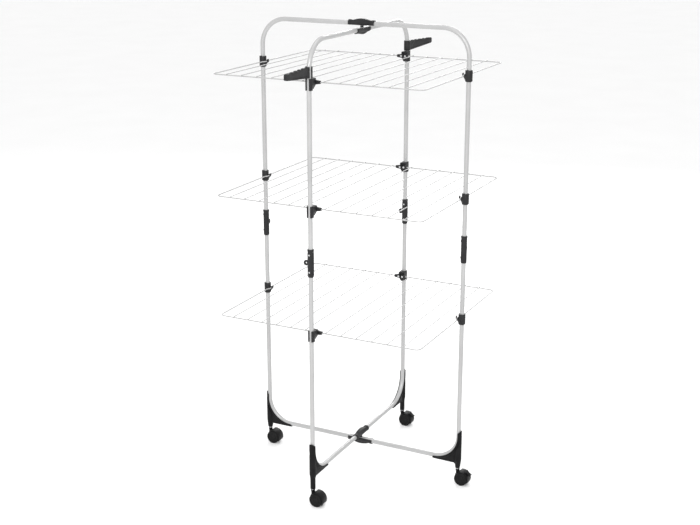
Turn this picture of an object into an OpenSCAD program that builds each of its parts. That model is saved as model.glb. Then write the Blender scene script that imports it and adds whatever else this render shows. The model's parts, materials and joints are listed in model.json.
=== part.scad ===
// Tower clothes airer: two crossed tube loops on a vertical pivot, three tiers of
// folding wire half-shelves, two hanger arms and four twin-wheel casters.
// The origin is on the floor under the pivot, and +Z is up. The outer loop stands in
// the XZ plane (legs left and right), the inner loop in the YZ plane (legs front and back).

/* [Frame tubes] */
// Outside diameter of the frame tube
tube_d = 16; // [15.5:0.25:16.5]
// Wall thickness of the frame tube
tube_wall = 0.8; // [0.6:0.1:1.5]
// Centre-line radius of the corner bends
bend_r = 95; // [90:1:105]
// From the pivot to the axes of the outer loop's legs
outer_reach = 396; // [394:1:420]
// From the pivot to the axes of the inner loop's legs
inner_reach = 380.5; // [380:0.5:381]
// Height of the outer loop's top tube axis
outer_top_z = 1649; // [1648:1:1700]
// Drop from the outer to the inner top tube axis
top_gap = 21; // [20:0.5:24]
// Height of the outer loop's bottom tube axis
outer_bottom_z = 93; // [92:1:98]
// Rise from the outer to the inner bottom tube axis
bottom_gap = 25; // [22:0.5:28]

/* [Leg couplings] */
// Height of the middle of each coupling
coupling_z = 895; // [880:1:910]
// Length of a coupling
coupling_len = 98; // [90:1:110]
// Outside diameter of a coupling
coupling_d = 21; // [20:0.5:23]
// Hole in the coupling's accessory ring
ear_hole_d = 6; // [4:0.5:6]

/* [Shelf tiers] */
// Height of the lowest tier's edge wires
low_tier_z = 640; // [620:1:660]
// Height of the middle tier's edge wires
mid_tier_z = 1076; // [1060:1:1090]
// Height of the top tier's edge wires
top_tier_z = 1496; // [1480:1:1500]
// Length of the hanging wires, between the side wires
wire_len = 700; // [698:1:702]
// Diameter of the edge wires
edge_wire_d = 4; // [3.5:0.25:4]
// Diameter of the hanging wires
cross_wire_d = 3; // [2.5:0.25:3.5]
// Hanging wires on each half-shelf, not counting its outer edge
cross_wires = 6; // [4:1:8]
// From the pivot plane to the first hanging wire
first_wire_x = 39; // [36:1:45]

/* [Hanger arms] */
// Length of a hanger arm from its tube's axis
arm_len = 167; // [150:1:170]
// Height of the arm's sleeve
arm_root_h = 36; // [34:1:38]

/* [Casters] */
// Diameter of a caster wheel
wheel_d = 50; // [48:0.5:50]
// Overall width across a pair of wheels
caster_w = 38; // [36:1:40]
// Trail of the wheel axle behind the swivel axis
caster_trail = 18; // [16:1:19]

/* [Hidden] */
$fn = 64;

// Which way a half-shelf or leg faces: the left and front ones are turned half a turn.
AHEAD = 0;
TURNED = 180;

tube_r = tube_d / 2;
tube_bore_r = tube_r - tube_wall;
inner_top_z = outer_top_z - top_gap;
inner_bottom_z = outer_bottom_z + bottom_gap;
// Play between a clip and the tube it holds, and between a pin and its bore
clip_play = 0.1;
pin_play = 0.05;
// Gap between parts that move past each other
move_gap = 0.5;
// Overlap that joins two shapes of one part
join = 0.5;

coupling_r = coupling_d / 2;
coupling_end_gap = 2;
coupling_rim_r = coupling_r + 0.9;
coupling_rim_h = 5;
coupling_chamfer = 2.5;
ear_r = 9.5;
ear_reach = 16.5;
ear_thick = 4.5;
screw_offset = 30;
screw_r = 1.75;
screw_head_r = 3.2;
screw_boss_r = 4.4;
screw_boss_out = coupling_r + 0.6;

saddle_half = 49;
saddle_r = 10.5;
saddle_skirt = 6;
saddle_rise = 5;
saddle_arch_half = 30;
saddle_crown_half = 6.5;
saddle_collar_len = 9;
saddle_collar_r = 11.3;
stud_r = 3;
stud_collar_r = 6;
stud_tip = 11;

sleeve_r = 12;
foot_arm = 98;
foot_top = 118;
foot_slope = 10;
foot_slope_a = 38;
foot_tip_a = 30;
foot_wall_start = 2;
foot_web_half = 6;
stem_bottom_z = 62;
stem_bore_r = 4 + pin_play;
stem_bore_depth = 34;
outer_stem_r = 7.8;
inner_stem_r = 9.4;
outer_taper_h = 27;
inner_taper_h = 16;

hook_clip_up = 20;
hook_clip_down = 18;
hook_clip_r = 12.5;
hook_rib_w = 4;
hook_rib_out = 13.6;
hook_wire_in = 17;
hook_thick = 8;
hook_bore_r = edge_wire_d / 2 + 0.3;
hook_wall = 3.2;
hook_lip = 8;

shelf_edge_x = outer_reach - 10.5;
shelf_hook_x = outer_reach - hook_wire_in;
side_y = wire_len / 2;
edge_r = edge_wire_d / 2;
cross_r = cross_wire_d / 2;
corner_r = 18;
jog_flat = 13;
jog_end = 22;
weld_sink = 0.5;
joint_proud = 0.05;
wire_tick = 2.5;
wire_pitch = (shelf_edge_x - first_wire_x) / cross_wires;

hinge_x = 8;
hinge_pin_r = 2.5;
hub_r = 7;
hub_half_w = 5;
nose_x = 25;
stub_x = 19;
nose_tip_h = 4.6;
socket_bore_x = 14;
pivot_clip_up = 15;
pivot_clip_down = 23;
pivot_clip_half_w = 12;
pivot_body_side_z = -6;
pivot_body_low_z = -21;
pivot_mouth = 10;
pin_root = 6;
pin_head_r = 3.6;
pin_head_h = 1.2;

arm_z = top_tier_z + 17;
arm_thick = 11;
arm_tip_low = 12.5;
arm_tip_high = 33;
arm_tip_r = 7;
arm_play = 0.3;
arm_flare = 1.9;
arm_flare_z = 17;
front_arm_swing = 3;
back_arm_swing = -8;
arm_first_notch = 27;
arm_notches = 5;
arm_notch_r = 9;
arm_notch_depth = 3.6;
arm_groove_depth = 1.6;
arm_groove_h = 2.2;
arm_groove_start = 24;
arm_groove_z = 7.5;
arm_groove_a = 4.2;
arm_mouth = 9;
arm_mouth_a = -28;

wheel_r = wheel_d / 2;
wheel_gap = 6.7;
wheel_w = caster_w / 2 - wheel_gap;
wheel_round = 3;
wheel_cap = 1;
wheel_dish_r = 9;
wheel_dish_rim = 2;
axle_r = 3;
hood_half = 6;
hood_plate_r = 17;
fender_in = wheel_r + 1.2;
fender_out = wheel_r + 3.6;
fender_half = 17.5;
fender_root = 1;
fender_low = -27;
fender_high = 105;
neck_r = 6.3;
neck_low = 33;
neck_top = 59;
neck_collar_r = 7.3;
neck_collar_h = 8;
flange_r = 7;
stem_r = 4;
stem_depth = 22;
lever_pivot_r = 32;
lever_pivot_a = 60;
lever_pin_r = 1.5;
lever_tab = [32.5, 16.5];
lever_thick = 2.6;
lever_half = 8.5;
lug_half = 12;
lug_r = 2.8;
lever_eye_r = 2.6;

/* ---- shared shapes ---- */

module tube_ring() {
    difference() {
        circle(r = tube_r);
        circle(r = tube_bore_r);
    }
}

// A straight length of tube from height 0 upwards
module tube_run(len) {
    linear_extrude(len) tube_ring();
}

// A quarter bend in the XZ plane round the origin, from angle a to a + 90
module tube_bend(a) {
    rotate([90, 0, 0])
        rotate([0, 0, a])
            rotate_extrude(angle = 90)
                translate([bend_r, 0])
                    tube_ring();
}

// A U of tube in the XZ plane: two legs from leg_z to the bends, and the cross tube at cross_z
module tube_loop(reach, cross_z, leg_z) {
    up = cross_z > leg_z ? 1 : -1;
    straight = reach - bend_r;
    bend_z = cross_z - up * bend_r;
    for (side = [-1, 1]) {
        translate([side * reach, 0, min(leg_z, bend_z)])
            tube_run(abs(bend_z - leg_z));
    }
    translate([straight, 0, bend_z])
        tube_bend(up > 0 ? 0 : 270);
    translate([-straight, 0, bend_z])
        tube_bend(up > 0 ? 90 : 180);
    translate([-straight, 0, cross_z])
        rotate([0, 90, 0])
            tube_run(2 * straight);
}

// The two screw holes that each leg end has for its coupling
module leg_screw_holes(reach) {
    for (side = [-1, 1]) {
        for (up = [-1, 1]) {
            translate([side * reach, 0, coupling_z + up * screw_offset])
                rotate([0, -90, 0])
                    cylinder(r = screw_r + pin_play, h = tube_d);
        }
    }
}

// The hole that the pivot stud passes through, in a cross tube at height z
module stud_hole(z) {
    translate([0, 0, z - tube_d])
        cylinder(r = stud_r + pin_play, h = 2 * tube_d);
}

// The inner loop is drawn like the outer one and turned a quarter turn
module quarter() {
    rotate([0, 0, 90]) children();
}

/* ---- frame tubes ---- */

module upper_tube(reach, top_z) {
    color("gainsboro")
        difference() {
            tube_loop(reach, top_z, coupling_z + coupling_end_gap / 2);
            leg_screw_holes(reach);
            stud_hole(top_z);
        }
}

module lower_tube(reach, bottom_z) {
    color("gainsboro")
        difference() {
            tube_loop(reach, bottom_z, coupling_z - coupling_end_gap / 2);
            leg_screw_holes(reach);
            stud_hole(bottom_z);
        }
}

/* ---- leg couplings ---- */

// Sleeve profile: flared rim at the top, chamfered foot
module coupling_profile() {
    h = coupling_len / 2;
    polygon([
        [tube_bore_r, -h],
        [coupling_r - coupling_chamfer, -h],
        [coupling_r, coupling_chamfer - h],
        [coupling_r, h - 2 * coupling_rim_h],
        [coupling_rim_r, h - coupling_rim_h],
        [coupling_rim_r, h - 1],
        [coupling_rim_r - 1, h],
        [tube_bore_r, h]
    ]);
}

// A coupling on the leg at (x, 0), with its ring towards +Y and its screws towards -X
module coupling(x) {
    color("dimgray")
        translate([x, 0, coupling_z])
            difference() {
                union() {
                    rotate_extrude() coupling_profile();
                    translate([0, ear_reach, 0])
                        rotate([0, 90, 0])
                            cylinder(r = ear_r, h = ear_thick, center = true);
                    for (up = [-1, 1]) {
                        translate([0, 0, up * screw_offset])
                            rotate([0, -90, 0])
                                cylinder(r = screw_boss_r, h = screw_boss_out);
                    }
                    coupling_ribs();
                }
                cylinder(r = tube_r + clip_play, h = 2 * coupling_len, center = true);
                translate([0, ear_reach, 0])
                    rotate([0, 90, 0])
                        cylinder(d = ear_hole_d, h = 2 * ear_thick, center = true);
                for (up = [-1, 1]) {
                    translate([0, 0, up * screw_offset])
                        rotate([0, -90, 0])
                            cylinder(r = screw_r + pin_play, h = 2 * coupling_r);
                }
            }
}

// Raised lengthwise ribs on the coupling's two faces
module coupling_ribs() {
    rib_w = 1.6;
    rib_h = 0.6;
    rib_len = coupling_len - 4 * coupling_rim_h;
    for (a = [-60, -20, 120, 240]) {
        rotate([0, 0, a])
            translate([coupling_r / 2 + rib_h / 2, 0, -coupling_rim_h / 2])
                cube([coupling_r + rib_h, rib_w, rib_len], center = true);
    }
}

// Both screws of one coupling, with domed heads on the bosses
module coupling_screws(x) {
    head_h = 1.6;
    for (up = [-1, 1]) {
        translate([x, 0, coupling_z + up * screw_offset])
            rotate([0, -90, 0]) {
                translate([0, 0, tube_bore_r - 1])
                    cylinder(r = screw_r, h = screw_boss_out - tube_bore_r + 1 + join);
                translate([0, 0, screw_boss_out])
                    cylinder(r1 = screw_head_r, r2 = screw_head_r - 1.2, h = head_h);
            }
    }
}

module leg_screws(reach) {
    color("silver")
        for (side = [-1, 1]) {
            coupling_screws(side * reach);
        }
}

/* ---- centre pivots ---- */

// A saddle along X over a tube whose axis is at height 0: a C-shaped sleeve that opens
// downwards, with an arched crown in the middle and a collar at each end
module saddle() {
    color("dimgray")
        difference() {
            union() {
                rotate([0, 90, 0])
                    cylinder(r = saddle_r, h = 2 * saddle_half, center = true);
                for (side = [-1, 1]) {
                    translate([side * (saddle_half - saddle_collar_len / 2), 0, 0])
                        rotate([0, 90, 0])
                            cylinder(r = saddle_collar_r, h = saddle_collar_len, center = true);
                }
                saddle_crown();
            }
            rotate([0, 90, 0])
                cylinder(r = tube_r + clip_play, h = 3 * saddle_half, center = true);
            translate([-2 * saddle_half, -2 * saddle_r, -saddle_skirt - 2 * saddle_r])
                cube([4 * saddle_half, 4 * saddle_r, 2 * saddle_r]);
            cylinder(r = stud_r + pin_play, h = stud_tip + pin_play);
        }
}

// The arched crown, whose ends sink into the saddle's back
module saddle_crown() {
    arch_r = (saddle_arch_half * saddle_arch_half + saddle_rise * saddle_rise) / (2 * saddle_rise);
    rotate([90, 0, 0])
        linear_extrude(2 * saddle_crown_half, center = true)
            intersection() {
                translate([0, saddle_r + saddle_rise - arch_r])
                    circle(r = arch_r);
                translate([-saddle_half + saddle_collar_len, 0])
                    square([2 * (saddle_half - saddle_collar_len), saddle_r + 2 * saddle_rise]);
            }
}

// The stud through two crossing tubes, with a collar that keeps them apart
module pivot_stud(low_z, high_z) {
    collar_h = high_z - low_z - tube_d - move_gap;
    color("silver") {
        translate([0, 0, low_z - stud_tip])
            cylinder(r = stud_r, h = high_z - low_z + 2 * stud_tip);
        translate([0, 0, (low_z + high_z - collar_h) / 2])
            cylinder(r = stud_collar_r, h = collar_h);
    }
}

module pivot_studs_pair() {
    pivot_stud(inner_top_z, outer_top_z);
    pivot_stud(outer_bottom_z, inner_bottom_z);
}

/* ---- feet ---- */

// The outward half of a clip's section, round a tube
module half_ring() {
    difference() {
        intersection() {
            circle(r = sleeve_r);
            translate([0, -sleeve_r])
                square([sleeve_r, 2 * sleeve_r]);
        }
        circle(r = tube_r + clip_play);
    }
}

// The channel along a bottom corner. The corner of the two tube axes is at the origin,
// the leg goes up and the arm goes towards -X.
module corner_channel() {
    translate([0, 0, bend_r])
        linear_extrude(foot_top - bend_r)
            half_ring();
    translate([-bend_r, 0, bend_r])
        rotate([90, 0, 0])
            rotate([0, 0, 270])
                rotate_extrude(angle = 90)
                    translate([bend_r, 0])
                        half_ring();
    translate([-foot_arm, 0, 0])
        rotate([0, 90, 0])
            linear_extrude(foot_arm - bend_r)
                half_ring();
}

// The filled corner between the bend, the stem and the arm
module foot_web(drop, stem) {
    rotate([90, 0, 0])
        linear_extrude(2 * foot_web_half, center = true)
            difference() {
                polygon([
                    [sleeve_r - 1, bend_r - 1],
                    [sleeve_r - 1, 0],
                    [stem - 1, join - drop],
                    [1 - stem, join - drop],
                    [-stem - 1, -sleeve_r - 4],
                    [-stem - 6, join - sleeve_r],
                    [1 - bend_r, 1 - sleeve_r],
                    [1 - bend_r, bend_r]
                ]);
                translate([-bend_r, bend_r])
                    circle(r = bend_r + tube_r + foot_wall_start);
            }
}

// The column that runs from the leg's line down to the stem, outside the bend
module foot_column(stem, taper, stem_h) {
    difference() {
        union() {
            cylinder(r = sleeve_r, h = bend_r);
            translate([0, 0, -taper])
                cylinder(r1 = stem, r2 = sleeve_r, h = taper);
            translate([0, 0, -stem_h])
                cylinder(r = stem, h = stem_h - taper + join);
        }
        translate([-bend_r, 0, bend_r])
            rotate([90, 0, 0])
                cylinder(r = bend_r + tube_r + foot_wall_start, h = 4 * sleeve_r, center = true);
    }
}

// A foot on the corner at (x, 0, corner_z), facing +X. It is a channel that holds the outer
// half of the bend, with a stem below for the caster.
module foot(x, corner_z, stem, taper) {
    stem_h = corner_z - stem_bottom_z;
    big = 4 * sleeve_r;
    color("dimgray")
        translate([x, 0, corner_z])
            difference() {
                union() {
                    corner_channel();
                    foot_web(min(stem_h, taper + 4), stem);
                    foot_column(stem, taper, stem_h);
                }
                translate([-1, -big / 2, foot_top - foot_slope])
                    rotate([0, -foot_slope_a, 0])
                        cube([big, big, big]);
                translate([-foot_arm - 3, -big / 2, 1 - sleeve_r])
                    rotate([0, foot_tip_a, 0])
                        translate([-big, 0, 0])
                            cube([big, big, big]);
                translate([0, 0, -stem_h - 1])
                    cylinder(r = stem_bore_r, h = stem_bore_depth + 1);
            }
}

/* ---- hook clips on the outer legs ---- */

// One clip round the leg at (x, 0), facing +X: its hook is on the -X side, under the wire
module hook_clip(x) {
    color("dimgray")
        translate([x, 0, 0])
            difference() {
                union() {
                    translate([0, 0, -hook_clip_down])
                        cylinder(r = hook_clip_r, h = hook_clip_down + hook_clip_up - 2);
                    translate([0, 0, -hook_clip_down - 2])
                        cylinder(r1 = hook_clip_r - 2, r2 = hook_clip_r, h = 2 + join);
                    for (side = [-1, 1]) {
                        translate([0, side * (hook_rib_out - hook_rib_w / 2), 1])
                            cube(
                                [hook_rib_w, hook_rib_w, hook_clip_up + hook_clip_down],
                                center = true
                            );
                    }
                    hook_finger();
                }
                cylinder(r = tube_r + clip_play, h = 4 * hook_clip_up, center = true);
            }
}

// The J of the hook, centred on the wire's rest
module hook_finger() {
    out_r = hook_bore_r + hook_wall;
    rotate([90, 0, 0])
        linear_extrude(hook_thick, center = true)
            difference() {
                union() {
                    translate([-hook_wire_in, 0])
                        circle(r = out_r);
                    translate([-hook_wire_in - out_r, 0])
                        square([hook_wall, hook_lip]);
                    polygon([
                        [-hook_clip_r + 1, 0],
                        [-hook_wire_in, -out_r],
                        [-hook_clip_r + 1, -hook_clip_down + 2]
                    ]);
                }
                translate([-hook_wire_in, 0])
                    circle(r = hook_bore_r);
                translate([-hook_wire_in - hook_bore_r, 0])
                    square([2 * hook_bore_r, 4 * hook_lip]);
            }
}

module hook_clip_pair(z) {
    translate([0, 0, z]) {
        hook_clip(outer_reach);
        rotate([0, 0, TURNED]) hook_clip(outer_reach);
    }
}

/* ---- pivot clips on the inner legs ---- */

// One clip on the back leg at (0, inner_reach): a C round the tube that opens outwards,
// and a body towards the middle that holds the two shelf pins
module pivot_clip() {
    face_y = side_y + hub_half_w + move_gap;
    color("dimgray")
        difference() {
            union() {
                translate([0, inner_reach, -pivot_clip_down])
                    cylinder(r = pivot_clip_half_w, h = pivot_clip_down + pivot_clip_up);
                translate([0, inner_reach, 0])
                    rotate([90, 0, 0])
                        linear_extrude(inner_reach - face_y)
                            pivot_body_outline();
            }
            translate([0, inner_reach, 0])
                cylinder(r = tube_r + clip_play, h = 4 * pivot_clip_down, center = true);
            translate([-pivot_mouth / 2, inner_reach, -2 * pivot_clip_down])
                cube([pivot_mouth, 2 * sleeve_r, 4 * pivot_clip_down]);
            for (side = [-1, 1]) {
                translate([side * hinge_x, face_y + pin_root, 0])
                    rotate([90, 0, 0])
                        cylinder(r = hinge_pin_r + pin_play, h = pin_root + 1);
            }
        }
}

module pivot_body_outline() {
    polygon([
        [-pivot_clip_half_w, pivot_clip_up - 2],
        [-pivot_clip_half_w + 2, pivot_clip_up],
        [pivot_clip_half_w - 2, pivot_clip_up],
        [pivot_clip_half_w, pivot_clip_up - 2],
        [pivot_clip_half_w, pivot_body_side_z],
        [3, pivot_body_low_z],
        [-3, pivot_body_low_z],
        [-pivot_clip_half_w, pivot_body_side_z]
    ]);
}

module pivot_clip_pair(z) {
    translate([0, 0, z]) {
        pivot_clip();
        rotate([0, 0, TURNED]) pivot_clip();
    }
}

// The two shelf pins of one back clip, with flat heads inside the sockets
module hinge_pins() {
    root_y = side_y + hub_half_w + move_gap + pin_root;
    head_y = side_y - hub_half_w - move_gap;
    for (side = [-1, 1]) {
        translate([side * hinge_x, root_y, 0])
            rotate([90, 0, 0])
                cylinder(r = hinge_pin_r, h = root_y - head_y + join);
        translate([side * hinge_x, head_y, 0])
            rotate([90, 0, 0])
                cylinder(r = pin_head_r, h = pin_head_h);
    }
}

module hinge_pin_set() {
    color("silver")
        for (z = [low_tier_z, mid_tier_z, top_tier_z], turn = [AHEAD, TURNED]) {
            translate([0, 0, z])
                rotate([0, 0, turn])
                    hinge_pins();
        }
}

/* ---- half-shelves ---- */

// A round wire through the points, with a slightly proud ball at each inner point
module wire_path(points, r) {
    last = len(points) - 1;
    for (i = [1 : last]) {
        start = points[i - 1];
        d = points[i] - start;
        len = norm(d);
        translate(start)
            rotate([0, acos(d[2] / len), atan2(d[1], d[0])])
                cylinder(r = r, h = len);
    }
    for (i = [1 : last - 1]) {
        translate(points[i]) sphere(r = r + joint_proud);
    }
}

// A quarter of a ring of wire in the XY plane, from angle a to a + 90
module wire_corner(centre, a) {
    translate(centre)
        rotate([0, 0, a])
            rotate_extrude(angle = 90)
                translate([corner_r, 0])
                    circle(r = edge_r);
}

// The edge wire of the right half: two side wires, two round corners, and an outer wire
// that steps in beside the leg, to lie in the hook
module edge_wire() {
    corner_x = shelf_edge_x - corner_r;
    corner_y = side_y - corner_r;
    for (side = [-1, 1]) {
        translate([socket_bore_x + pin_play, side * side_y, 0])
            rotate([0, 90, 0])
                cylinder(r = edge_r, h = corner_x - socket_bore_x - pin_play);
    }
    wire_corner([corner_x, corner_y, 0], 0);
    wire_corner([corner_x, -corner_y, 0], 270);
    wire_path([
        [shelf_edge_x, -corner_y, 0],
        [shelf_edge_x, -jog_end, 0],
        [shelf_hook_x, -jog_flat, 0],
        [shelf_hook_x, jog_flat, 0],
        [shelf_edge_x, jog_end, 0],
        [shelf_edge_x, corner_y, 0]
    ], edge_r);
}

// The right half-shelf, with its edge wires at height 0
module half_shelf() {
    cross_z = edge_r + cross_r - weld_sink;
    color("whitesmoke") {
        edge_wire();
        for (i = [0 : cross_wires - 1]) {
            translate([first_wire_x + i * wire_pitch, 0, cross_z])
                rotate([90, 0, 0])
                    cylinder(r = cross_r, h = wire_len + 2 * wire_tick, center = true);
        }
    }
}

// A socket that carries the end of a side wire and turns on a shelf pin. The long one has
// a nose to x = tip.
module socket(tip) {
    rotate([90, 0, 0])
        linear_extrude(2 * hub_half_w, center = true)
            difference() {
                union() {
                    translate([hinge_x, 0])
                        circle(r = hub_r);
                    polygon([
                        [hinge_x, hub_r],
                        [hinge_x + hub_r / 2, hub_r - 0.6],
                        [tip, nose_tip_h],
                        [tip, -nose_tip_h],
                        [hinge_x + hub_r / 2, 0.6 - hub_r],
                        [hinge_x, -hub_r]
                    ]);
                }
                translate([hinge_x, 0])
                    circle(r = hinge_pin_r + pin_play);
            }
}

// Both sockets of the right half: the long nose is at the front
module socket_pair() {
    color("dimgray")
        for (end = [[-1, nose_x], [1, stub_x]]) {
            translate([0, end[0] * side_y, 0])
                difference() {
                    socket(end[1]);
                    translate([socket_bore_x, 0, 0])
                        rotate([0, 90, 0])
                            cylinder(r = edge_r, h = nose_x);
                }
        }
}

module shelf_at(z, turn) {
    translate([0, 0, z])
        rotate([0, 0, turn])
            children();
}

/* ---- hanger arms ---- */

// The arm's side outline in the plane of its length and height: a notched top edge that
// falls a little, a rising underside and a round tip
module arm_outline() {
    tip_x = arm_len - arm_tip_r;
    fall = (arm_root_h - arm_tip_high) / (tip_x - tube_r);
    pitch = (arm_len - arm_first_notch - arm_tip_r) / arm_notches;
    difference() {
        union() {
            polygon([
                [tube_r, 0],
                [tube_r, arm_root_h],
                [tip_x, arm_tip_high],
                [arm_len, arm_tip_high - arm_tip_r],
                [arm_len, arm_tip_low + arm_tip_r],
                [tip_x, arm_tip_low]
            ]);
            translate([tip_x, arm_tip_high - arm_tip_r])
                circle(r = arm_tip_r);
            translate([tip_x, arm_tip_low + arm_tip_r])
                circle(r = arm_tip_r);
        }
        for (i = [0 : arm_notches - 1]) {
            notch_x = arm_first_notch + i * pitch;
            edge_z = arm_root_h - fall * (notch_x - tube_r);
            translate([notch_x, edge_z + arm_notch_r - arm_notch_depth])
                circle(r = arm_notch_r);
        }
    }
}

// The front hanger arm, which points towards -Y and is swung by an angle at rest. Its
// sleeve's mouth faces +X, a little forward, and its bore flares upwards round the bend.
module hanger_arm(swing) {
    color("dimgray")
        translate([0, -inner_reach, arm_z])
            rotate([0, 0, swing])
            difference() {
                union() {
                    cylinder(r = sleeve_r, h = arm_root_h);
                    rotate([90, 0, -90])
                        linear_extrude(arm_thick, center = true)
                            arm_outline();
                }
                translate([0, 0, -1])
                    cylinder(r = tube_r + arm_play, h = arm_root_h + 2);
                translate([0, 0, arm_flare_z])
                    cylinder(
                        r1 = tube_r + arm_play,
                        r2 = tube_r + arm_play + arm_flare,
                        h = arm_root_h - arm_flare_z
                    );
                rotate([0, 0, arm_mouth_a])
                    translate([0, -arm_mouth / 2, -1])
                        cube([2 * sleeve_r, arm_mouth, arm_root_h + 2]);
                for (side = [-1, 1]) {
                    arm_side_groove(side);
                }
            }
}

// A long shallow groove low on each side of the arm
module arm_side_groove(side) {
    groove_len = arm_len - 2 * arm_groove_start;
    translate([side * arm_thick / 2, -arm_groove_start, arm_groove_z])
        rotate([-arm_groove_a, 0, 0])
            translate([0, -groove_len / 2, 0])
                cube([2 * arm_groove_depth, groove_len, arm_groove_h], center = true);
}

/* ---- casters ---- */

// The metal stem of the caster at (x, y): it is fixed in the foot, and the hood turns on it
module caster_stem(x, y) {
    color("silver")
        translate([x, y, 0]) {
            translate([0, 0, stem_bottom_z - stem_depth])
                cylinder(r = stem_r, h = stem_depth + stem_bore_depth - 2);
            translate([0, 0, neck_top + move_gap])
                cylinder(r = flange_r, h = stem_bottom_z - neck_top - move_gap);
        }
}

// A ring sector round the wheel axis in the XZ plane, from angle a to b and half as wide as half_w
module fender_arc(r_in, r_out, a, b, half_w) {
    rotate([90, 0, 0])
        rotate([0, 0, a])
            rotate_extrude(angle = b - a)
                translate([r_in, -half_w])
                    square([r_out - r_in, 2 * half_w]);
}

// The hood of the caster at (x, y): a middle plate between the wheels, a fender over them,
// a neck round the stem and, where there is a brake, two lugs for its lever
module caster_hood(x, y, braked) {
    color("dimgray")
        translate([x, y, 0])
            difference() {
                union() {
                    translate([caster_trail, 0, wheel_r]) {
                        rotate([90, 0, 0])
                            cylinder(r = hood_plate_r, h = 2 * hood_half, center = true);
                        fender_arc(fender_in, fender_out, fender_low, fender_high, fender_half);
                        fender_arc(hood_plate_r - 2, fender_out - 0.8, 20, 165, hood_half - 0.4);
                        if (braked) {
                            lever_lugs();
                        }
                    }
                    translate([0, 0, neck_low])
                        cylinder(r = neck_r, h = neck_top - neck_low);
                    translate([0, 0, neck_top - neck_collar_h])
                        cylinder(r = neck_collar_r, h = neck_collar_h);
                }
                translate([0, 0, stem_bottom_z - stem_depth - 1])
                    cylinder(r = stem_r + pin_play, h = stem_depth + 1);
                translate([caster_trail, 0, wheel_r])
                    rotate([90, 0, 0])
                        cylinder(r = axle_r + pin_play, h = 4 * hood_half, center = true);
            }
}

// Where the brake lever turns, from the wheel axis
function lever_pivot() = [lever_pivot_r * cos(lever_pivot_a), lever_pivot_r * sin(lever_pivot_a)];

module lever_lugs() {
    p = lever_pivot();
    lug_w = lug_half - lever_half - move_gap;
    for (side = [-1, 1]) {
        translate([0, side * (lug_half - lug_w / 2), 0])
            rotate([90, 0, 0])
                linear_extrude(lug_w, center = true)
                    difference() {
                        union() {
                            translate(p) circle(r = lug_r);
                            rotate(lever_pivot_a)
                                translate([fender_in + fender_root, -lug_r])
                                    square([lever_pivot_r - fender_in - fender_root, 2 * lug_r]);
                        }
                        translate(p) circle(r = lever_pin_r + pin_play);
                    }
    }
}

// The foot brake of the caster at (x, y): a short pedal over the fender
module brake_lever(x, y) {
    p = lever_pivot();
    d = lever_tab - p;
    len = norm(d);
    color("dimgray")
        translate([x + caster_trail, y, wheel_r]) {
            rotate([90, 0, 0])
                linear_extrude(2 * lever_half, center = true) {
                    translate(p) circle(r = lever_eye_r);
                    translate(p)
                        rotate(atan2(d[1], d[0]))
                            translate([0, -lever_thick / 2])
                                square([len, lever_thick]);
                    translate(lever_tab) circle(r = lever_thick / 2 + 0.7);
                }
            translate([p[0], 0, p[1]])
                rotate([90, 0, 0])
                    cylinder(r = lever_pin_r, h = 2 * lug_half, center = true);
        }
}

module caster_axle(x, y) {
    color("silver")
        translate([x + caster_trail, y, wheel_r])
            rotate([90, 0, 0])
                cylinder(r = axle_r, h = caster_w - 5, center = true);
}

// Half of a wheel's section: a tread with round shoulders, and an outer face dished round the hub
module wheel_profile() {
    shoulder = wheel_r - wheel_round;
    difference() {
        union() {
            square([shoulder, wheel_w]);
            translate([shoulder - join, wheel_round])
                square([wheel_round + join, wheel_w - 2 * wheel_round]);
            for (z = [wheel_round, wheel_w - wheel_round]) {
                translate([shoulder, z])
                    circle(r = wheel_round);
            }
        }
        translate([wheel_dish_r, wheel_w - wheel_cap])
            square([shoulder - wheel_dish_rim - wheel_dish_r, 2 * wheel_cap]);
    }
}

// The wheel of the caster at (x, y) on the given side: -1 faces the front, 1 the back
module wheel(x, y, side) {
    color("dimgray")
        translate([x + caster_trail, y + side * wheel_gap, wheel_r])
            rotate([-90 * side, 0, 0])
                difference() {
                    rotate_extrude() wheel_profile();
                    translate([0, 0, -1])
                        cylinder(r = axle_r + pin_play, h = wheel_w - wheel_cap + 1);
                }
}

/* ---- drawing ---- */

upper_tube(outer_reach, outer_top_z);  // outer_upper_tube
lower_tube(outer_reach, outer_bottom_z);  // outer_lower_tube
quarter() upper_tube(inner_reach, inner_top_z);  // inner_upper_tube
quarter() lower_tube(inner_reach, inner_bottom_z);  // inner_lower_tube

coupling(-outer_reach);  // coupling_left
coupling(outer_reach);  // coupling_right
quarter() coupling(-inner_reach);  // coupling_front
quarter() coupling(inner_reach);  // coupling_back
leg_screws(outer_reach);  // outer_coupling_screws
quarter() leg_screws(inner_reach);  // inner_coupling_screws

translate([0, 0, outer_top_z]) saddle();  // outer_top_saddle
translate([0, 0, inner_top_z]) quarter() rotate([180, 0, 0]) saddle();  // inner_top_saddle
translate([0, 0, outer_bottom_z]) rotate([180, 0, 0]) saddle();  // outer_bottom_saddle
translate([0, 0, inner_bottom_z]) quarter() saddle();  // inner_bottom_saddle
pivot_studs_pair();  // pivot_studs

rotate([0, 0, TURNED]) foot(outer_reach, outer_bottom_z, outer_stem_r, outer_taper_h);  // foot_left
foot(outer_reach, outer_bottom_z, outer_stem_r, outer_taper_h);  // foot_right
rotate([0, 0, -90]) foot(inner_reach, inner_bottom_z, inner_stem_r, inner_taper_h);  // foot_front
quarter() foot(inner_reach, inner_bottom_z, inner_stem_r, inner_taper_h);  // foot_back

hook_clip_pair(low_tier_z);  // hook_clips_low
hook_clip_pair(mid_tier_z);  // hook_clips_mid
hook_clip_pair(top_tier_z);  // hook_clips_top
pivot_clip_pair(low_tier_z);  // pivot_clips_low
pivot_clip_pair(mid_tier_z);  // pivot_clips_mid
pivot_clip_pair(top_tier_z);  // pivot_clips_top
hinge_pin_set();  // shelf_pivot_pins

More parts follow.
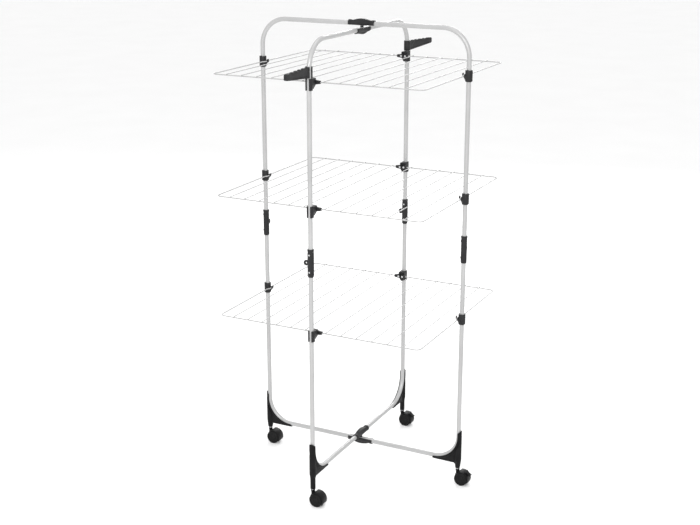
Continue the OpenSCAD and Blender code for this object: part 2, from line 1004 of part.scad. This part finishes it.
hanger_arm(front_arm_swing);  // hanger_arm_front
rotate([0, 0, TURNED]) hanger_arm(back_arm_swing);  // hanger_arm_back

shelf_at(low_tier_z, TURNED) half_shelf();  // shelf_low_left
shelf_at(low_tier_z, AHEAD) half_shelf();  // shelf_low_right
shelf_at(mid_tier_z, TURNED) half_shelf();  // shelf_mid_left
shelf_at(mid_tier_z, AHEAD) half_shelf();  // shelf_mid_right
shelf_at(top_tier_z, TURNED) half_shelf();  // shelf_top_left
shelf_at(top_tier_z, AHEAD) half_shelf();  // shelf_top_right
shelf_at(low_tier_z, TURNED) socket_pair();  // sockets_low_left
shelf_at(low_tier_z, AHEAD) socket_pair();  // sockets_low_right
shelf_at(mid_tier_z, TURNED) socket_pair();  // sockets_mid_left
shelf_at(mid_tier_z, AHEAD) socket_pair();  // sockets_mid_right
shelf_at(top_tier_z, TURNED) socket_pair();  // sockets_top_left
shelf_at(top_tier_z, AHEAD) socket_pair();  // sockets_top_right

union() {  // outer_caster_stems
    caster_stem(-outer_reach, 0);
    caster_stem(outer_reach, 0);
}
union() {  // inner_caster_stems
    caster_stem(0, -inner_reach);
    caster_stem(0, inner_reach);
}
caster_hood(-outer_reach, 0, false);  // caster_hood_left
caster_hood(outer_reach, 0, true);  // caster_hood_right
caster_hood(0, -inner_reach, false);  // caster_hood_front
caster_hood(0, inner_reach, true);  // caster_hood_back
caster_axle(-outer_reach, 0);  // caster_axle_left
caster_axle(outer_reach, 0);  // caster_axle_right
caster_axle(0, -inner_reach);  // caster_axle_front
caster_axle(0, inner_reach);  // caster_axle_back
wheel(-outer_reach, 0, -1);  // wheel_left_a
wheel(-outer_reach, 0, 1);  // wheel_left_b
wheel(outer_reach, 0, -1);  // wheel_right_a
wheel(outer_reach, 0, 1);  // wheel_right_b
wheel(0, -inner_reach, -1);  // wheel_front_a
wheel(0, -inner_reach, 1);  // wheel_front_b
wheel(0, inner_reach, -1);  // wheel_back_a
wheel(0, inner_reach, 1);  // wheel_back_b
brake_lever(outer_reach, 0);  // brake_lever_right
brake_lever(0, inner_reach);  // brake_lever_back
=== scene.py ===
import json
import math
import bmesh
import bpy
from mathutils import Matrix, Vector


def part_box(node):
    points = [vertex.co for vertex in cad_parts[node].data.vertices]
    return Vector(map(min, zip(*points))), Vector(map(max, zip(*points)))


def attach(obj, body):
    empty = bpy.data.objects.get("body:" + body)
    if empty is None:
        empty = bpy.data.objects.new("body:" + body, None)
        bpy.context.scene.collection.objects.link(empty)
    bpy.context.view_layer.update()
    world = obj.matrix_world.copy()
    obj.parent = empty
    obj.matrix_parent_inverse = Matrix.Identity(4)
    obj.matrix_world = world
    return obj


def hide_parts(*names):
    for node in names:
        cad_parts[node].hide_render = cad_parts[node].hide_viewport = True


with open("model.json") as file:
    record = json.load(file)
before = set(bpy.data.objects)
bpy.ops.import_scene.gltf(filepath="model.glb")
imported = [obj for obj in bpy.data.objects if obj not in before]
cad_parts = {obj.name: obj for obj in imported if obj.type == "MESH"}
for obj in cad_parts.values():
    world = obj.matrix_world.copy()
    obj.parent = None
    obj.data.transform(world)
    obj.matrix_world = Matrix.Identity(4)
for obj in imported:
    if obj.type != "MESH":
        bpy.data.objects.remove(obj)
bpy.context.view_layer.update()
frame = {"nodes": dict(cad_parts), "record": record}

NODES = frame["nodes"]
RECORD = frame["record"]
BODY_OF = {n: b for b, ns in RECORD["behaviour"]["bodies"].items() for n in ns}
SLOT_OF = {s["node"]: s["material_slot"] for s in RECORD["subparts"]}
MM = 0.001

# ---------------------------------------------------------------- camera

scene = bpy.context.scene
camera_data = bpy.data.cameras.new("camera")
camera = bpy.data.objects.new("camera", camera_data)
scene.collection.objects.link(camera)
camera_data.sensor_width = 36
camera_data.lens = 62.66
camera_data.clip_start = 0.1
camera_data.clip_end = 200
eye = Vector((1.866, -3.785, 2.099))
aim = Vector((-0.0138, -0.0631, 0.808))
camera.location = eye
camera.rotation_mode = "QUATERNION"
camera.rotation_quaternion = (aim - eye).to_track_quat("-Z", "Y")
scene.camera = camera

# ---------------------------------------------------------------- light and floor

scene.view_settings.view_transform = "Standard"
world = bpy.data.worlds.new("studio")
scene.world = world
world.use_nodes = True
world.node_tree.nodes["Background"].inputs["Color"].default_value = (1, 1, 1, 1)
world.node_tree.nodes["Background"].inputs["Strength"].default_value = 1.0


def soft_light(name, place, target, size, watts):
    data = bpy.data.lights.new(name, "AREA")
    data.shape = "RECTANGLE"
    data.size, data.size_y = size
    data.energy = watts
    light = bpy.data.objects.new(name, data)
    light.location = place
    light.rotation_mode = "QUATERNION"
    light.rotation_quaternion = (Vector(target) - Vector(place)).to_track_quat("-Z", "Y")
    scene.collection.objects.link(light)


soft_light("key_light", (1.4, -4.0, 2.8), (0, 0, 0.9), (1.4, 1.4), 105)
soft_light("back_light", (-1.2, 4.2, 2.6), (0, 0, 0.9), (1.6, 1.6), 60)
soft_light("top_light", (0.2, 0.2, 4.6), (0, 0, 0.8), (2.4, 2.4), 25)


# ---------------------------------------------------------------- materials

# The part of a noise value's range that most of it lies in
NOISE_LOW, NOISE_HIGH = 0.3, 0.7


def node_material(name):
    material = bpy.data.materials.new(name)
    material.use_nodes = True
    tree = material.node_tree
    shader = tree.nodes["Principled BSDF"]
    coords = tree.nodes.new("ShaderNodeTexCoord")
    return material, tree, shader, coords


def noise(tree, coords, scale, detail=2.0, stretch=(1, 1, 1)):
    """A noise value in the object's own coordinates."""
    mapping = tree.nodes.new("ShaderNodeMapping")
    mapping.inputs["Scale"].default_value = stretch
    tree.links.new(coords.outputs["Object"], mapping.inputs["Vector"])
    texture = tree.nodes.new("ShaderNodeTexNoise")
    texture.inputs["Scale"].default_value = scale
    texture.inputs["Detail"].default_value = detail
    tree.links.new(mapping.outputs["Vector"], texture.inputs["Vector"])
    return texture.outputs["Fac"]


def ramp(tree, value, stops):
    """A colour from a value, through (place, colour) stops."""
    node = tree.nodes.new("ShaderNodeValToRGB")
    elements = node.color_ramp.elements
    elements[0].position, elements[0].color = stops[0][0], (*stops[0][1], 1)
    elements[1].position, elements[1].color = stops[-1][0], (*stops[-1][1], 1)
    for place, color in stops[1:-1]:
        elements.new(place).color = (*color, 1)
    tree.links.new(value, node.inputs["Fac"])
    return node.outputs["Color"]


def spread(tree, value, low, high):
    """Stretches the middle of a noise value to the range low to high."""
    node = tree.nodes.new("ShaderNodeMapRange")
    node.inputs["From Min"].default_value = NOISE_LOW
    node.inputs["From Max"].default_value = NOISE_HIGH
    node.inputs["To Min"].default_value = low
    node.inputs["To Max"].default_value = high
    tree.links.new(value, node.inputs["Value"])
    return node.outputs["Result"]


def bump(tree, shader, heights):
    """Chains a bump for each (value, strength, distance in metres)."""
    last = None
    for value, strength, distance in heights:
        node = tree.nodes.new("ShaderNodeBump")
        node.inputs["Strength"].default_value = strength
        node.inputs["Distance"].default_value = distance
        tree.links.new(value, node.inputs["Height"])
        if last:
            tree.links.new(last, node.inputs["Normal"])
        last = node.outputs["Normal"]
    tree.links.new(last, shader.inputs["Normal"])


def painted_tube():
    material, tree, shader, coords = node_material("silver_grey_paint")
    cloud = noise(tree, coords, 9, 3)
    fleck = noise(tree, coords, 1500, 1)
    tone = ramp(tree, cloud, [(NOISE_LOW, (0.37, 0.37, 0.37)), (NOISE_HIGH, (0.42, 0.42, 0.42))])
    tree.links.new(tone, shader.inputs["Base Color"])
    shader.inputs["Metallic"].default_value = 0.15
    tree.links.new(spread(tree, noise(tree, coords, 60, 3), 0.30, 0.42), shader.inputs["Roughness"])
    shader.inputs["Coat Weight"].default_value = 0.25
    shader.inputs["Coat Roughness"].default_value = 0.2
    peel = noise(tree, coords, 420, 2)
    bump(tree, shader, [(peel, 0.05, 0.0004), (fleck, 0.04, 0.0001)])
    return material


def coated_wire():
    material, tree, shader, coords = node_material("white_dipped_coat")
    cloud = noise(tree, coords, 14, 3)
    tone = ramp(tree, cloud, [(NOISE_LOW, (0.33, 0.33, 0.33)), (NOISE_HIGH, (0.39, 0.39, 0.39))])
    tree.links.new(tone, shader.inputs["Base Color"])
    tree.links.new(spread(tree, noise(tree, coords, 90, 3), 0.28, 0.42), shader.inputs["Roughness"])
    shader.inputs["Coat Weight"].default_value = 0.3
    shader.inputs["Coat Roughness"].default_value = 0.15
    runs = noise(tree, coords, 260, 2)
    bump(tree, shader, [(runs, 0.12, 0.0004)])
    return material


def moulded_plastic(name, low, high, gloss, shine, grain_strength):
    """low and high are colours, gloss is the range of roughness, shine is the specular level."""
    material, tree, shader, coords = node_material(name)
    cloud = noise(tree, coords, 40, 4)
    tone = ramp(tree, cloud, [(NOISE_LOW, low), (NOISE_HIGH, high)])
    tree.links.new(tone, shader.inputs["Base Color"])
    tree.links.new(spread(tree, noise(tree, coords, 220, 3), *gloss), shader.inputs["Roughness"])
    shader.inputs["Specular IOR Level"].default_value = shine
    grain = noise(tree, coords, 1600, 3)
    swell = noise(tree, coords, 70, 2)
    bump(tree, shader, [(grain, grain_strength, 0.0002), (swell, 0.05, 0.0008)])
    return material


def zinc_steel():
    material, tree, shader, coords = node_material("zinc_plate")
    cloud = noise(tree, coords, 160, 4)
    tone = ramp(tree, cloud, [(NOISE_LOW, (0.50, 0.51, 0.52)), (NOISE_HIGH, (0.66, 0.66, 0.66))])
    tree.links.new(tone, shader.inputs["Base Color"])
    shader.inputs["Metallic"].default_value = 1.0
    lines = noise(tree, coords, 300, 2, (1, 1, 12))
    tree.links.new(spread(tree, lines, 0.25, 0.42), shader.inputs["Roughness"])
    bump(tree, shader, [(lines, 0.06, 0.0002)])
    return material


def worn_tread():
    material, tree, shader, coords = node_material("worn_tread")
    scuff = noise(tree, coords, 240, 5)
    tone = ramp(tree, scuff, [(0.35, (0.004, 0.004, 0.004)), (0.65, (0.016, 0.0155, 0.015))])
    tree.links.new(tone, shader.inputs["Base Color"])
    tree.links.new(spread(tree, scuff, 0.5, 0.75), shader.inputs["Roughness"])
    bump(tree, shader, [(scuff, 0.2, 0.0003)])
    return material


MATERIAL = {
    "tube": painted_tube(),
    "wire": coated_wire(),
    "plastic": moulded_plastic(
        "charcoal_moulding", (0.009, 0.009, 0.010), (0.016, 0.016, 0.017), (0.46, 0.6), 0.28, 0.22),
    # The caster and wheel mouldings are black plastic. They are made darker than the charcoal moulding
    # above as painted shade for the shade low down by the floor.
    "caster": moulded_plastic(
        "black_nylon_with_painted_shade", (0.003, 0.003, 0.0035), (0.006, 0.006, 0.0065), (0.4, 0.54), 0.16, 0.14),
    "wheel": moulded_plastic(
        "wheel_face_with_painted_shade", (0.003, 0.003, 0.003), (0.006, 0.006, 0.0065), (0.38, 0.52), 0.16, 0.12),
    "zinc": zinc_steel(),
    "black_steel": moulded_plastic(
        "black_coat", (0.008, 0.008, 0.008), (0.014, 0.014, 0.014), (0.3, 0.45), 0.3, 0.08),
}
# A darker copy of the charcoal plastic for the feet. This is painted shade for the shade low down by the
# floor; the feet are the same plastic as the rest.
FOOT_PAINTED_SHADE = moulded_plastic(
    "charcoal_foot", (0.004, 0.004, 0.0045), (0.008, 0.008, 0.0085), (0.5, 0.64), 0.14, 0.22)
TREAD = worn_tread()


# ---------------------------------------------------------------- mesh helpers

# Points of a CAD mesh this close are one, and faces this nearly level are merged
WELD_DISTANCE = 0.004 * MM
FLAT_ANGLE = math.radians(0.4)


def piece(name, mesh, materials, body, stands_for=()):
    """A new object for mesh, riding on a CAD body."""
    ob = bpy.data.objects.new(name, mesh)
    scene.collection.objects.link(ob)
    mesh.materials.clear()
    for material in materials:
        mesh.materials.append(material)
    if stands_for:
        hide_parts(*stands_for)
    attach(ob, body)
    return ob


def smooth(mesh, degrees=32):
    mesh.polygons.foreach_set("use_smooth", [True] * len(mesh.polygons))
    mesh.set_sharp_from_angle(angle=math.radians(degrees))
    mesh.update()


def to_mesh(bm, name):
    mesh = bpy.data.meshes.new(name)
    bm.normal_update()
    bm.to_mesh(mesh)
    bm.free()
    return mesh


def baked(ob):
    """The object's mesh with its modifiers applied."""
    shown = ob.evaluated_get(bpy.context.evaluated_depsgraph_get())
    return bpy.data.meshes.new_from_object(shown)


def softened_mesh(node, width, segments=2, angle=38):
    """A CAD node's mesh with its faces merged and its edges rounded."""
    bm = bmesh.new()
    bm.from_mesh(NODES[node].data)
    bmesh.ops.remove_doubles(bm, verts=bm.verts, dist=WELD_DISTANCE)
    bmesh.ops.dissolve_limit(bm, angle_limit=FLAT_ANGLE, verts=bm.verts, edges=bm.edges)
    mesh = to_mesh(bm, node + "_raw")
    ob = bpy.data.objects.new(node + "_raw", mesh)
    scene.collection.objects.link(ob)
    bevel = ob.modifiers.new("round", "BEVEL")
    bevel.width = width
    bevel.segments = segments
    bevel.limit_method = "ANGLE"
    bevel.angle_limit = math.radians(angle)
    bevel.use_clamp_overlap = True
    bevel.loop_slide = True
    made = baked(ob)
    bpy.data.objects.remove(ob)
    return made


def soften(node, width):
    """Shows a rounded copy of a CAD node in its place."""
    mesh = softened_mesh(node, width)
    smooth(mesh)
    slot = SLOT_OF[node]
    # The feet take the darker copy of the plastic, which is painted shade.
    material = FOOT_PAINTED_SHADE if node.startswith("foot_") else MATERIAL[slot]
    return piece(node + "_moulding", mesh, [material], BODY_OF[node], [node])


def turned_to(axis):
    """The matrix that turns +Z to axis."""
    return Vector(axis).to_track_quat("Z", "Y").to_matrix().to_4x4()


def add_revolved(bm, profile, place, axis, segments=64, material=None):
    """Turns (radius, height) points round axis through place. material gives each band's index."""
    matrix = Matrix.Translation(place) @ turned_to(axis)
    rings = []
    for radius, height in profile:
        if radius < 1e-7:
            rings.append([bm.verts.new(matrix @ Vector((0, 0, height)))])
        else:
            rings.append([
                bm.verts.new(matrix @ Vector((
                    radius * math.cos(2 * math.pi * k / segments),
                    radius * math.sin(2 * math.pi * k / segments),
                    height)))
                for k in range(segments)])
    for i in range(len(rings) - 1):
        low, high = rings[i], rings[i + 1]
        for k in range(segments):
            m = (k + 1) % segments
            if len(low) == 1:
                corners = (low[0], high[m], high[k])
            elif len(high) == 1:
                corners = (low[k], low[m], high[0])
            else:
                corners = (low[k], low[m], high[m], high[k])
            face = bm.faces.new(corners)
            if material:
                face.material_index = material[i]


def add_box(bm, size, matrix):
    bmesh.ops.create_cube(bm, size=1.0, matrix=matrix @ Matrix.Diagonal((*size, 1)))


def round_edges(bm, width):
    bmesh.ops.bevel(bm, geom=bm.edges[:], offset=width, segments=2, affect="EDGES", profile=0.5)


def add_ball(bm, place, radii, rings=8, segments=12):
    matrix = Matrix.Translation(place) @ Matrix.Diagonal((*radii, 1))
    bmesh.ops.create_uvsphere(bm, u_segments=segments, v_segments=rings, radius=1.0, matrix=matrix)


# ---------------------------------------------------------------- CAD nodes that stay

for node, ob in NODES.items():
    material = MATERIAL[SLOT_OF[node]]
    if ob.material_slots:
        for s in ob.material_slots:
            s.material = material
    else:
        ob.data.materials.append(material)

# ---------------------------------------------------------------- moulded parts

# Width of the rounding on the edges of each kind of moulding
EDGE_ROUND = 0.5 * MM
EDGE_ROUND_OF = {"hanger": 0.9 * MM, "foot": 0.9 * MM, "sockets": 0.6 * MM}

for node in NODES:
    if SLOT_OF[node] in ("plastic", "caster"):
        soften(node, EDGE_ROUND_OF.get(node.split("_")[0], EDGE_ROUND))

# ---------------------------------------------------------------- wheels

# One wheel's (radius, distance from the inner face) points, from the end of the axle's
# bore, over the inner face, the tread with its three grooves and the rim, to the hub
WHEEL_DRAWN_R = 25
WHEEL_DRAWN_W = 12.3
WHEEL_PROFILE = [
    (0, 10.3), (3.15, 10.3), (3.15, 0.4), (3.6, 0), (21.0, 0), (22.6, 0.25),
    (24.1, 1.2), (24.8, 2.4), (25, 3.6),
    (25, 4.3), (24.75, 4.5), (24.75, 4.8), (25, 5.0),
    (25, 5.95), (24.75, 6.1), (24.75, 6.4), (25, 6.55),
    (25, 7.5), (24.75, 7.7), (24.75, 8.0), (25, 8.2),
    (25, 8.8), (24.8, 9.9), (24.1, 11.1), (22.9, 12.0), (21.6, 12.3),
    (20.5, 12.3), (20.1, 12.1), (19.9, 11.5), (19.5, 11.3),
    (11.2, 11.3), (10.8, 11.5), (10.4, 12.0), (9.9, 12.3),
    (7.6, 12.3), (7.3, 12.15), (7.1, 11.9), (6.7, 11.8), (0, 11.8),
]
# The bands of the profile that carry the tread's material
TREAD_BANDS = range(5, 25)
WHEEL_SEGMENTS = 72

FACE_RIBS = 8
FACE_RIB_SIZE = (9.6 * MM, 1.6 * MM, 0.9 * MM)
FACE_RIB_PLACE = (15.4 * MM, 0, 11.5 * MM)
FACE_RIB_ROUND = 0.25 * MM

for node in sorted(n for n in NODES if n.startswith("wheel_")):
    low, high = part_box(node)
    side = 1 if node.endswith("_b") else -1
    inner_y = low.y if side > 0 else high.y
    centre = Vector(((low.x + high.x) / 2, inner_y, (low.z + high.z) / 2))
    radius = (high.x - low.x) / 2
    wide = high.y - low.y
    scaled = [(r * radius / WHEEL_DRAWN_R, t * wide / WHEEL_DRAWN_W) for r, t in WHEEL_PROFILE]
    bands = [1 if i in TREAD_BANDS else 0 for i in range(len(WHEEL_PROFILE) - 1)]
    bm = bmesh.new()
    add_revolved(bm, scaled, centre, (0, side, 0), WHEEL_SEGMENTS, bands)
    mesh = to_mesh(bm, node + "_turned")
    smooth(mesh, 30)
    piece(node + "_tyre_and_face", mesh, [MATERIAL["wheel"], TREAD], BODY_OF[node], [node])
    bm = bmesh.new()
    face = Matrix.Translation(centre) @ turned_to((0, side, 0))
    for k in range(FACE_RIBS):
        spin = Matrix.Rotation(2 * math.pi * (k + 0.5) / FACE_RIBS, 4, "Z")
        add_box(bm, FACE_RIB_SIZE, face @ spin @ Matrix.Translation(FACE_RIB_PLACE))
    round_edges(bm, FACE_RIB_ROUND)
    mesh = to_mesh(bm, node + "_ribs")
    smooth(mesh)
    piece(node + "_face_ribs", mesh, [MATERIAL["wheel"]], BODY_OF[node])

# ---------------------------------------------------------------- coupling screws

# The head's (radius, height) points in mm, the slots of its cross, and its shank
SCREW_HEAD = [(0, -0.2), (3.15, -0.2), (3.2, 0.1), (3.1, 0.7), (2.6, 1.25), (1.6, 1.5), (0, 1.6)]
CROSS_SLOT = (3.4 * MM, 0.7 * MM, 2.4 * MM)
CROSS_SLOT_RISE = 2.0 * MM
SHANK_R = 1.7 * MM
SHANK_LEN = 4.5 * MM
# Distance of a head's seat from the leg's axis, and of a screw from the coupling's middle
SCREW_SEAT = 11.1 * MM
SCREW_OFFSET = 30 * MM
# Radius of the collar that gives the two boxes of the caster stems their ends
STEM_COLLAR_R = 7 * MM


def screw_head_mesh():
    """One pan head with a cross recess, along +Z from height 0."""
    bm = bmesh.new()
    add_revolved(bm, [(r * MM, t * MM) for r, t in SCREW_HEAD], (0, 0, 0), (0, 0, 1), 32)
    head = bpy.data.objects.new("head_raw", to_mesh(bm, "head_raw"))
    scene.collection.objects.link(head)
    cutters = []
    for turn in (0, math.pi / 2):
        bm = bmesh.new()
        add_box(bm, CROSS_SLOT, Matrix.Rotation(turn, 4, "Z") @ Matrix.Translation((0, 0, CROSS_SLOT_RISE)))
        cutter = bpy.data.objects.new("cut_raw", to_mesh(bm, "cut_raw"))
        scene.collection.objects.link(cutter)
        cut = head.modifiers.new("cut", "BOOLEAN")
        cut.operation = "DIFFERENCE"
        cut.object = cutter
        cut.solver = "EXACT"
        cutters.append(cutter)
    made = baked(head)
    for ob in (head, *cutters):
        bpy.data.objects.remove(ob)
    return made


def half_size(node):
    low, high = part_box(node)
    return (high - low) / 2


HEAD = screw_head_mesh()
COUPLING_Z = (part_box("coupling_left")[0].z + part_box("coupling_left")[1].z) / 2
OUTER_X = half_size("outer_caster_stems").x - STEM_COLLAR_R
INNER_Y = half_size("inner_caster_stems").y - STEM_COLLAR_R
for node, places in (
    ("outer_coupling_screws", [Vector((OUTER_X, 0, 0)), Vector((-OUTER_X, 0, 0))]),
    ("inner_coupling_screws", [Vector((0, INNER_Y, 0)), Vector((0, -INNER_Y, 0))]),
):
    bm = bmesh.new()
    for i, place in enumerate(places):
        # the heads on both legs of a loop face the same way
        way = Vector((-1, 0, 0)) if node.startswith("outer") else Vector((0, -1, 0))
        for up in (-1, 1):
            seat = place + way * SCREW_SEAT + Vector((0, 0, COUPLING_Z + up * SCREW_OFFSET))
            # each cross is left at its own angle
            spin = Matrix.Rotation(0.5 + 0.9 * i + 0.7 * up, 4, "Z")
            part = HEAD.copy()
            part.transform(Matrix.Translation(seat) @ turned_to(way) @ spin)
            bm.from_mesh(part)
            shank = [(0, -SHANK_LEN), (SHANK_R, -SHANK_LEN), (SHANK_R, 0), (0, 0)]
            add_revolved(bm, shank, seat, way, 20)
    mesh = to_mesh(bm, node + "_heads")
    smooth(mesh, 30)
    piece(node + "_pan_heads", mesh, [MATERIAL["zinc"]], BODY_OF[node], [node])

# ---------------------------------------------------------------- wire joints

# The wires' places as in the CAD, and the pools of coating where a cross wire meets a side wire
CROSS_WIRES = 6
FIRST_WIRE = 39 * MM
SIDE_Y = 350 * MM
CROSS_RISE = 3.0 * MM
EDGE_WIRE_R = 2 * MM
EDGE_WIRE_RISE = 2.05 * MM
POOL_RISE = 1.7 * MM
POOL_SIZE = (2.9 * MM, 2.2 * MM, 1.0 * MM)
TIP_REACH = 2.4 * MM
TIP_SIZE = (1.5 * MM, 0.9 * MM, 1.5 * MM)

for tier in ("low", "mid", "top"):
    for half, sign in (("left", -1), ("right", 1)):
        node = f"shelf_{tier}_{half}"
        low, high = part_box(node)
        edge_x = max(abs(low.x), abs(high.x)) - EDGE_WIRE_R
        level = low.z + EDGE_WIRE_RISE
        pitch = (edge_x - FIRST_WIRE) / CROSS_WIRES
        bm = bmesh.new()
        for i in range(CROSS_WIRES):
            for end in (-1, 1):
                x = sign * (FIRST_WIRE + i * pitch)
                add_ball(bm, (x, end * SIDE_Y, level + POOL_RISE), POOL_SIZE)
                add_ball(bm, (x, end * (SIDE_Y + TIP_REACH), level + CROSS_RISE), TIP_SIZE)
        mesh = to_mesh(bm, node + "_joints")
        smooth(mesh, 60)
        piece(node + "_weld_joints", mesh, [MATERIAL["wire"]], BODY_OF[node])

# ---------------------------------------------------------------- brake pedals' treads

# Distances of the lever's eye and of its tip from the ends of its box, and the ribs' places
LEVER_EYE_R = 2.6 * MM
LEVER_TIP = 2.0 * MM
PEDAL_RIB_SHARES = (0.4, 0.54, 0.68, 0.82)
PEDAL_RIB_SIZE = (1.2 * MM, 14 * MM, 0.8 * MM)
PEDAL_RIB_RISE = 1.4 * MM
PEDAL_RIB_ROUND = 0.22 * MM

for node in ("brake_lever_right", "brake_lever_back"):
    low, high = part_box(node)
    pivot = Vector((low.x + LEVER_EYE_R, (low.y + high.y) / 2, high.z - LEVER_EYE_R))
    tab = Vector((high.x - LEVER_TIP, pivot.y, low.z + LEVER_TIP))
    along = tab - pivot
    turn = Matrix.Rotation(math.atan2(-along.z, along.x), 4, "Y")
    bm = bmesh.new()
    for share in PEDAL_RIB_SHARES:
        at = Matrix.Translation(pivot + along * share) @ turn @ Matrix.Translation((0, 0, PEDAL_RIB_RISE))
        add_box(bm, PEDAL_RIB_SIZE, at)
    round_edges(bm, PEDAL_RIB_ROUND)
    mesh = to_mesh(bm, node + "_ribs")
    smooth(mesh)
    piece(node + "_grip_ribs", mesh, [MATERIAL["caster"]], BODY_OF[node])

# ---------------------------------------------------------------- floor

FLOOR_REACH = 30
FLOOR_CORNERS = [(x * FLOOR_REACH, y * FLOOR_REACH, 0) for x, y in ((-1, -1), (1, -1), (1, 1), (-1, 1))]

floor_mesh = bpy.data.meshes.new("floor")
floor_mesh.from_pydata(FLOOR_CORNERS, [], [(0, 1, 2, 3)])
floor = bpy.data.objects.new("floor", floor_mesh)
scene.collection.objects.link(floor)
floor_material, floor_tree, floor_shader, floor_coords = node_material("pale_floor")
floor_stops = [(NOISE_LOW, (0.94, 0.94, 0.94)), (NOISE_HIGH, (0.96, 0.96, 0.96))]
floor_tone = ramp(floor_tree, noise(floor_tree, floor_coords, 2, 2), floor_stops)
floor_tree.links.new(floor_tone, floor_shader.inputs["Base Color"])
floor_shader.inputs["Roughness"].default_value = 0.7
floor_mesh.materials.append(floor_material)

# ---------------------------------------------------------------- hand over

bpy.context.view_layer.update()
